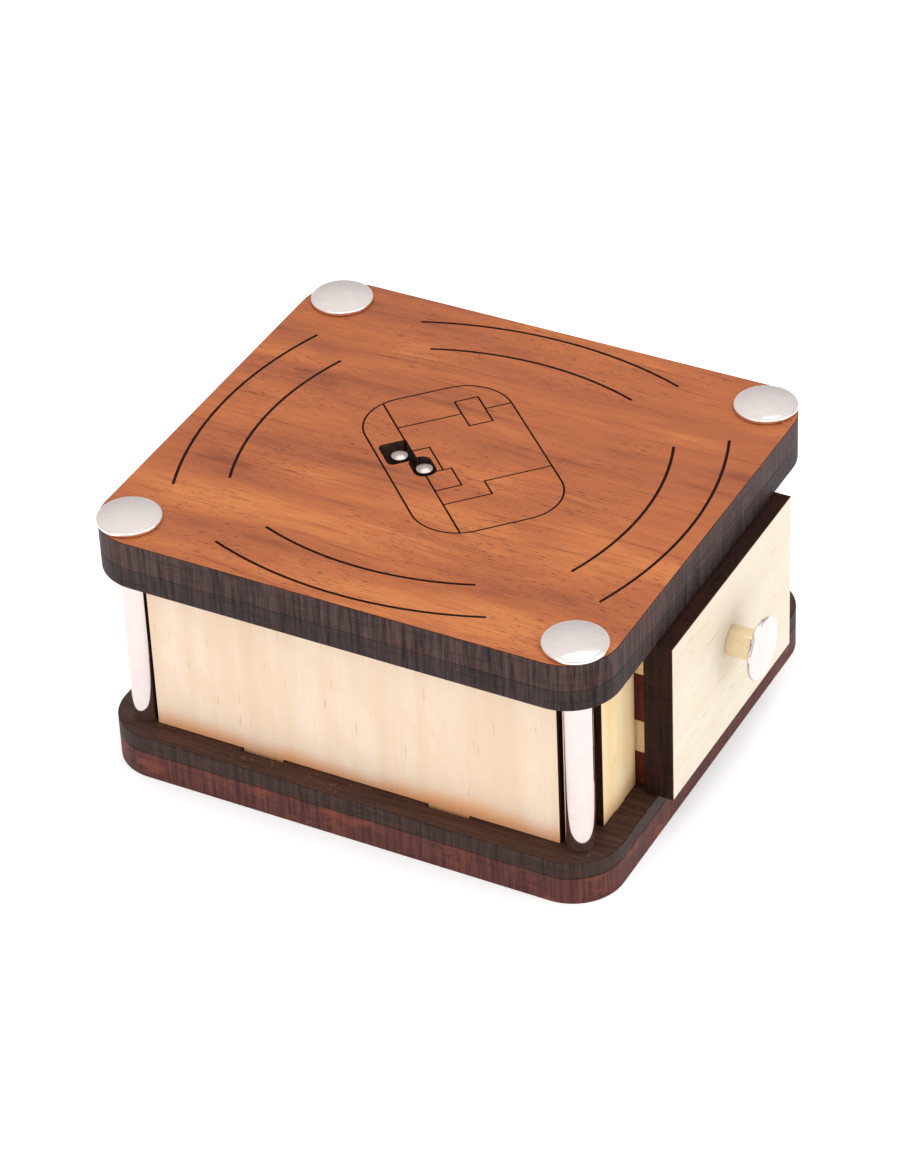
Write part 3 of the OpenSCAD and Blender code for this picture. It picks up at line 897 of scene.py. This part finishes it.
@dataclass(frozen=True)
class Board:
    """One laser-cut board: its CAD node, its own name, how it lies and what it wears."""

    node: str
    name: str
    sheet: Sheet
    dress: Dress
    round_mm: float = 0.15
    # How nearly a face looks along the sheet's axis before it counts as a face and not as an edge
    facing: float = 0.9
    # The floors of engraved lines lie between these depths under the board's top
    engraved_mm: tuple[float, float] = (0.2, 2.0)

    def cut(self, body: str, groove_and_pocket_shade: Material | None = None) -> None:
        """Cuts the board, dresses its faces, edges and rims, and seats it on a body.

        Args:
            body: The body that the board moves with.
            groove_and_pocket_shade: The finish of the floors of engraved lines, where it has them.
        """
        shape = merged_copy(self.node)
        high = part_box(self.node)[1].z
        shallow, deep = (depth * MM for depth in self.engraved_mm)
        for face in shape.faces:
            flat = abs(face.normal[self.sheet.value]) > self.facing
            face.material_index = 0 if flat else 1
            sunk = high - face.calc_center_median().z
            if groove_and_pocket_shade and flat and face.normal.z > 0 and shallow < sunk < deep:
                face.material_index = 3
        materials = [self.dress.face, self.dress.edge, self.dress.rim] + ([groove_and_pocket_shade] if groove_and_pocket_shade else [])
        piece = finished(self.name, shape, materials)
        soften(piece, self.round_mm, 2)
        seated(piece, body, [self.node])


# ---------------------------------------------------------------- sub-assemblies


@dataclass
class Base:
    """The two glued boards that the box stands on."""

    finishes: Finishes
    round_mm: float = 0.35

    def build(self) -> None:
        """Cuts both boards."""
        f = self.finishes
        foot = Dress("base_lower_ply", f.base_face, f.foot_edge, f.foot_edge)
        floor = Dress("dark_ply_edge", f.base_face, f.base_edge, f.base_edge)
        Board("base_lower_plate", "foot_board", Sheet.Z, foot, self.round_mm).cut("box")
        Board("base_upper_plate", "floor_board", Sheet.Z, floor, self.round_mm).cut("box")


@dataclass
class Walls:
    """The outer walls and the two walls that guide the drawer."""

    finishes: Finishes

    def build(self) -> None:
        """Cuts the seven walls."""
        f = self.finishes
        pale = Dress("pale_ply", f.wall, f.wall_end, f.wall_end)
        warm = Dress("pale_ply", f.front_wall, f.wall_end, f.wall_end)
        for board in (
            Board("side_panel_left", "left_wall", Sheet.X, pale),
            Board("side_panel_right", "right_wall", Sheet.X, pale),
            Board("back_panel", "rear_wall", Sheet.Y, pale),
            Board("front_panel_left", "front_wall_left", Sheet.Y, warm),
            Board("front_panel_right", "front_wall_right", Sheet.Y, warm),
            Board("guide_wall_left", "drawer_guide_left", Sheet.X, pale),
            Board("guide_wall_right", "drawer_guide_right", Sheet.X, pale),
        ):
            board.cut("box")


@dataclass
class Lid:
    """The lid's two boards, its inlaid window, and the keeper and stop under it."""

    finishes: Finishes
    rim_mm: float = 0.18
    inlay_rim_mm: float = 0.12
    inlays: tuple[str, ...] = ("side", "head", "field", "foot", "square_key", "long_key", "pin_key")

    def build(self) -> None:
        """Cuts the boards and the seven inlays."""
        f = self.finishes
        top = Dress("red_brown_face", f.veneer, f.lid_edge, f.lid_rim)
        core = Dress("dark_ply_edge", f.core_face, f.core_edge, f.core_edge)
        inner = Dress("pale_ply", f.drawer_board, f.wall_end, f.wall_end)
        Board("lid_upper_plate", "lid_face_board", Sheet.Z, top, self.rim_mm).cut("box", f.groove_and_pocket_shade)
        Board("lid_lower_plate", "lid_core_board", Sheet.Z, core, self.rim_mm).cut("box")
        for inlay in self.inlays:
            Board(f"inlay_{inlay}", f"{inlay}_inlay", Sheet.Z, top, self.inlay_rim_mm).cut("box")
        Board("keeper_plate", "keeper_board", Sheet.Z, inner).cut("box")
        Board("drawer_stop", "stop_block", Sheet.Z, inner).cut("box")


@dataclass
class Pillars:
    """The chromed pillars with their domed caps above and socket screws below, sizes in millimetres."""

    finishes: Finishes
    bore: float = 3.0
    chamfer: float = 0.25
    # The cap's upright wall under its crown, the chamfer of its foot, and that of its shank's tip
    cap_wall: float = 1.1
    cap_foot: float = 0.3
    cap_tip: float = 0.5
    screw_rounding: float = 0.2
    # A hexagon socket looks the same after each sixth of a turn
    most_turn: float = math.pi / 3

    def spacing(self, kind: str) -> tuple[float, float]:
        """Distance between the four parts of one kind along X and Y, in metres."""
        low, high = (sum(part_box(f"{kind}_{corner}"), Vector()) / 2 for corner in ("front_left", "back_right"))
        return high.x - low.x, high.y - low.y

    def stand(self, kind: str, name: str, shape: Shape, finish: Material, turn: float) -> None:
        """Stands one shape at all four corners and seats the set on the box.

        Args:
            kind: The start of the CAD nodes' names.
            name: The set's name.
            shape: One part, on the Z axis at its own height.
            finish: The set's finish.
            turn: The most that a part is turned by chance, in radians.
        """
        one = finished(name + "_one", shape, [finish])
        x, y = self.spacing(kind)
        values = {"Spacing X": x, "Spacing Y": y, "Most turn": turn, "Seed": CORNER_SEED, "Finish": finish}
        made = corner_tree().run(name, one, values)
        places = [f"{kind}_{end}_{side}" for end in ("front", "back") for side in ("left", "right")]
        seated(made, "box", places)

    def pillar(self) -> Shape:
        """Turns a bored round pillar with chamfered ends.

        Returns:
            The pillar.
        """
        low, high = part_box("pillar_front_left")
        r = (high.x - low.x) / 2 / MM
        foot, top, c = low.z / MM, high.z / MM, self.chamfer
        middle = [(r, foot + (top - foot) * i / 6) for i in range(1, 6)]
        outside = [(r - c, foot), (r, foot + c), *middle, (r, top - c), (r - c, top)]
        return turned([(self.bore, foot), *outside, (self.bore, top)], bored=True)

    def cap(self) -> Shape:
        """Turns a low domed cap with a rounded rim, and its shank.

        Returns:
            The cap.
        """
        low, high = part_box("cap_screw_front_left")
        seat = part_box("lid_upper_plate")[1].z / MM
        r, top, tip = (high.x - low.x) / 2 / MM, high.z / MM, low.z / MM
        crown = Dome(top - seat - self.cap_wall).profile(r, top)
        head = [*crown, (r, seat + self.cap_foot), (r - self.cap_foot, seat)]
        point = [(self.bore, tip + self.cap_tip), (self.bore - self.cap_tip, tip), (0, tip)]
        return turned([*head, (self.bore, seat), *point])

    def socket_screw(self) -> Shape:
        """Takes a flat-headed screw with a hexagon socket from its CAD node.

        Returns:
            The screw, on the Z axis.
        """
        shape = merged_copy("base_screw_front_left")
        low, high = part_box("base_screw_front_left")
        centre = (low + high) / 2
        bmesh.ops.translate(shape, verts=shape.verts, vec=(-centre.x, -centre.y, 0))
        sharp = [e for e in shape.edges if len(e.link_faces) == 2 and e.calc_face_angle() > ROUNDED_ANGLE]
        bmesh.ops.bevel(
            shape,
            geom=sharp,
            offset=self.screw_rounding * MM,
            segments=2,
            profile=0.5,
            affect="EDGES",
            clamp_overlap=True,
        )
        return shape

    def build(self) -> None:
        """Makes the three sets of four."""
        f = self.finishes
        self.stand("pillar", "pillar_set", self.pillar(), f.chrome, 0.0)
        self.stand("cap_screw", "cap_set", self.cap(), f.cap_chrome, 0.0)
        screw = self.socket_screw()
        self.stand("base_screw", "socket_screw_set", screw, f.steel, self.most_turn)


@dataclass
class Lock:
    """One hidden lock in millimetres: the tile and pin in the lid, and the bar and peg that they move."""

    letter: str
    finishes: Finishes
    pin_rise: float = 0.7
    peg_rise: float = 0.3
    rod_rim: float = 0.15
    rod_foot: float = 0.3

    def rod(self, node: str, name: str, rise: float) -> None:
        """Turns a steel rod with a domed top end and a chamfered foot.

        Args:
            node: The CAD node that it stands for.
            name: The rod's name.
            rise: The height of its dome.
        """
        low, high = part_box(node)
        centre = (low + high) / 2
        r, foot = (high.x - low.x) / 2 / MM, low.z / MM
        crown = Dome(rise, self.rod_rim, self.rod_rim, 70, 8, 3).profile(r, high.z / MM)
        shape = turned([*crown, (r, foot + self.rod_foot), (r - self.rod_foot, foot), (0, foot)], 64)
        bmesh.ops.translate(shape, verts=shape.verts, vec=(centre.x, centre.y, 0))
        piece = finished(name, shape, [self.finishes.steel])
        seated(piece, f"lock_{self.letter}", [node])

    def build(self) -> None:
        """Makes the lock's four pieces."""
        f, x = self.finishes, self.letter
        # The tile's top and rim wear the near-black groove finish: painted shade of its pocket, in place of the
        # tile's own wood
        tile = Dress("dark_ply_edge", f.groove_and_pocket_shade, f.lid_edge, f.groove_and_pocket_shade)
        bar = Dress("pale_ply", f.drawer_board, f.wall_end, f.wall_end)
        Board(f"tile_{x}", f"sliding_tile_{x}", Sheet.Z, tile).cut(f"lock_{x}")
        Board(f"lock_bar_{x}", f"sliding_bar_{x}", Sheet.Z, bar).cut(f"lock_{x}")
        self.rod(f"pin_{x}", f"steel_pin_{x}", self.pin_rise)
        self.rod(f"peg_{x}", f"steel_peg_{x}", self.peg_rise)


@dataclass
class Drawer:
    """The finger-jointed drawer box and its two-layer front."""

    finishes: Finishes
    # Both layers of the front have the same rims, so that no pale line shows between them
    front_rim_mm: float = 0.2

    def build(self) -> None:
        """Cuts the front's two layers and the five boards of the box."""
        f = self.finishes
        skin = Dress("pale_ply", f.drawer_front, f.drawer_edge, f.drawer_rim)
        core = Dress("dark_ply_edge", f.drawer_end, f.drawer_edge, f.drawer_edge)
        end = Dress("pale_ply", f.drawer_end, f.finger_end, f.finger_end)
        side = Dress("pale_ply", f.drawer_board, f.finger_end, f.finger_end)
        bottom = Dress("pale_ply", f.drawer_board, f.wall_end, f.wall_end)
        for board in (
            Board("drawer_face_outer", "drawer_front_skin", Sheet.Y, skin, self.front_rim_mm),
            Board("drawer_face_inner", "drawer_front_core", Sheet.Y, core, self.front_rim_mm),
            Board("drawer_box_front", "drawer_front_board", Sheet.Y, end),
            Board("drawer_back", "drawer_rear_board", Sheet.Y, end),
            Board("drawer_side_left", "drawer_left_board", Sheet.X, side),
            Board("drawer_side_right", "drawer_right_board", Sheet.X, side),
            Board("drawer_bottom", "drawer_bottom_board", Sheet.Z, bottom),
        ):
            board.cut("drawer")


@dataclass
class Knob:
    """The drawer's knob in millimetres: a brass sleeve under a chromed cap on a screw, and a nut inside."""

    finishes: Finishes
    bore: float = 3.0
    sleeve_chamfer: float = 0.25
    # The cap's whole height, its crown, and the chamfers of its foot and of the screw's tip
    head: float = 2.3
    rise: float = 1.2
    foot: float = 0.3
    tip: float = 0.5
    # The thread's pitch and ridge, where it starts, and how much of the screw stays plain
    pitch: float = 1.0
    ridge: float = 0.42
    thread_start: float = 0.6
    plain: float = 1.5
    nut_rounding: float = 0.3

    def on_front(self, shape: Shape, at: float) -> None:
        """Turns a shape made along Z to point out of the drawer's front.

        Args:
            shape: The shape.
            at: The Y in millimetres where its origin goes.
        """
        low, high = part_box("knob_sleeve")
        centre = (low + high) / 2
        bmesh.ops.rotate(shape, verts=shape.verts, matrix=Matrix.Rotation(math.pi / 2, 3, "X"))
        bmesh.ops.translate(shape, verts=shape.verts, vec=(centre.x, at * MM, centre.z))

    def sleeve(self) -> None:
        """Turns the brass sleeve, with a fine chamfer at each end."""
        low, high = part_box("knob_sleeve")
        r, length, c = (high.x - low.x) / 2 / MM, (high.y - low.y) / MM, self.sleeve_chamfer
        wall = [(r, c + (length - 2 * c) * i / 6) for i in range(7)]
        shape = turned([(self.bore, 0), (r - c, 0), *wall, (r - c, length), (self.bore, length)], bored=True)
        self.on_front(shape, high.y / MM)
        piece = finished("knob_brass_sleeve", shape, [self.finishes.brass])
        seated(piece, "drawer", ["knob_sleeve"])

    def screw(self) -> None:
        """Turns the chromed cap and winds the thread round its screw."""
        low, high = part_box("knob_screw")
        r, length = (high.x - low.x) / 2 / MM, (high.y - low.y) / MM
        core, under = self.bore - self.ridge, length - self.head
        cap = [*Dome(self.rise).profile(r, length), (r, under + self.foot), (r - self.foot, under)]
        shank = [(core, under), (core, self.tip), (core - self.tip, 0), (0, 0)]
        base = finished("knob_core", turned([*cap, *shank]), [self.finishes.chrome])
        wound = under - self.plain
        made = thread_tree().run(
            "knob_cap_and_screw",
            base,
            {
                "Turns": wound / self.pitch,
                "Root radius": core * MM,
                "Length": wound * MM,
                "Ridge": self.ridge * MM,
                "Lift": self.thread_start * MM,
                "Finish": self.finishes.chrome,
            },
        )
        shape = bmesh.new()
        shape.from_mesh(made.data)
        self.on_front(shape, high.y / MM)
        shape.to_mesh(made.data)
        shape.free()
        made.data.set_sharp_from_angle(angle=CRISP_ANGLE)
        seated(made, "drawer", ["knob_screw"])

    def nut(self) -> None:
        """Makes the hexagon nut inside the drawer, with rounded corners."""
        piece = finished("knob_nut_inside", merged_copy("knob_nut"), [self.finishes.steel])
        soften(piece, self.nut_rounding)
        seated(piece, "drawer", ["knob_nut"])

    def build(self) -> None:
        """Makes the knob's three pieces."""
        self.sleeve()
        self.screw()
        self.nut()


# ---------------------------------------------------------------- studio


@dataclass(frozen=True)
class Camera:
    """A long lens, held a little off level and aimed at the middle of the box, in metres and degrees."""

    target: Triple = (0.003509, 0.003652, 0.0330)
    distance: float = 1.12947
    azimuth: float = -60.87
    elevation: float = 36.40
    roll: float = -2.72
    lens: float = 131.99
    sensor: float = 36.0

    def build(self) -> None:
        """Puts the camera in place and makes it the scene's own."""
        az, el, roll = (math.radians(a) for a in (self.azimuth, self.elevation, self.roll))
        back = Vector((math.sin(az) * math.cos(el), -math.cos(az) * math.cos(el), math.sin(el)))
        level = (-back).cross(Vector((0, 0, 1))).normalized()
        upright = level.cross(-back)
        right = level * math.cos(roll) + upright * math.sin(roll)
        up = upright * math.cos(roll) - level * math.sin(roll)
        data = bpy.data.cameras.new("studio_camera")
        data.lens = self.lens
        data.sensor_width = self.sensor
        data.clip_start = 0.01
        camera = bpy.data.objects.new("studio_camera", data)
        turn = Matrix((right, up, back)).transposed().to_4x4()
        camera.matrix_world = Matrix.Translation(Vector(self.target) + back * self.distance) @ turn
        bpy.context.scene.collection.objects.link(camera)
        bpy.context.scene.camera = camera


@dataclass(frozen=True)
class Softbox:
    """A square softbox aimed at the middle of the box, by the radiance of its cloth."""

    name: str
    place: Triple
    side: float
    radiance: float
    aim: Triple = (0.0, 0.0, 0.04)

    def build(self) -> None:
        """Hangs the softbox."""
        data = bpy.data.lights.new(self.name, "AREA")
        data.shape = "SQUARE"
        data.size = self.side
        data.energy = self.radiance * math.pi * self.side**2
        lamp = bpy.data.objects.new(self.name, data)
        lamp.location = self.place
        lamp.rotation_euler = (Vector(self.place) - Vector(self.aim)).to_track_quat("Z", "Y").to_euler()
        bpy.context.scene.collection.objects.link(lamp)


@dataclass
class Studio:
    """A white sweep under soft, nearly even light."""

    floor_half: float = 4.0
    floor_drop_mm: float = 0.05
    floor_glow: float = 0.335
    # The air's strength overhead and at the horizon, and how high the horizon's dimness reaches
    sky: float = 0.95
    horizon: float = 0.56
    horizon_top: float = 0.8

    def floor(self) -> None:
        """Lays a matte white floor just under the box, clear from below so that the foot board shows."""
        shape = bmesh.new()
        bmesh.ops.create_grid(shape, x_segments=8, y_segments=8, size=self.floor_half)
        bmesh.ops.translate(shape, verts=shape.verts, vec=(0, 0, -self.floor_drop_mm * MM))
        # Rolled matte paper: white, without gloss, with a tone that drifts over some 250 mm
        w = Weave("matte_white_sweep")
        mottle = w.noise((0.004, 0.004, 0.004), 2.0)
        below = w.add("NewGeometry", None, [], "Backfacing")
        w.shade(
            Base_Color=w.add("ValToRGB", {"stops": [(0.3, "#F4F4F4"), (0.7, "#F8F8F8")]}, [mottle]),
            Roughness=0.9,
            Specular_IOR_Level=0.1,
            Emission_Color=(1.0, 1.0, 1.0, 1.0),
            Emission_Strength=self.floor_glow,
            Alpha=w.add("Math", {"operation": "SUBTRACT"}, [1.0, below]),
        )
        floor = finished("studio_floor", shape, [w.material])

    def air(self) -> None:
        """Fills the scene with white air, a little dimmer low down, which gives bright metal its tones."""
        world = bpy.data.worlds.new("studio_air")
        world.use_nodes = True
        tree = world.node_tree
        around = add_node(tree, "ShaderNodeTexCoord").outputs["Generated"]
        light = add_node(
            tree,
            "ShaderNodeMapRange",
            inputs={
                "Value": add_node(tree, "ShaderNodeSeparateXYZ", inputs={0: around}).outputs["Z"],
                "From Max": self.horizon_top,
                "To Min": self.horizon,
                "To Max": self.sky,
            },
        )
        tree.links.new(light.outputs["Result"], tree.nodes["Background"].inputs["Strength"])
        tree.nodes["Background"].inputs["Color"].default_value = (1.0, 1.0, 1.0, 1.0)
        bpy.context.scene.world = world

    def build(self) -> None:
        """Lays the floor and sets the lights."""
        bpy.context.scene.view_settings.view_transform = "Standard"
        self.floor()
        self.air()
        for softbox in (
            Softbox("overhead_softbox", (0.1, -0.1, 1.2), side=1.1, radiance=1.3),
            Softbox("drawer_side_softbox", (0.25, -1.45, 0.48), side=1.05, radiance=1.05),
            Softbox("left_side_softbox", (-1.4, 0.4, 0.5), side=0.9, radiance=0.5),
        ):
            softbox.build()


def main() -> None:
    """Builds the box piece by piece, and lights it."""
    logging.basicConfig(level=logging.INFO, format="%(name)s: %(message)s")
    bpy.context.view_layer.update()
    finishes = Finishes()
    Camera().build()
    Studio().build()
    Base(finishes).build()
    Walls(finishes).build()
    Lid(finishes).build()
    Pillars(finishes).build()
    for letter in ("a", "b"):
        Lock(letter, finishes).build()
    Drawer(finishes).build()
    Knob(finishes).build()
    log.info("size file written")


if __name__ == "__main__":
    main()
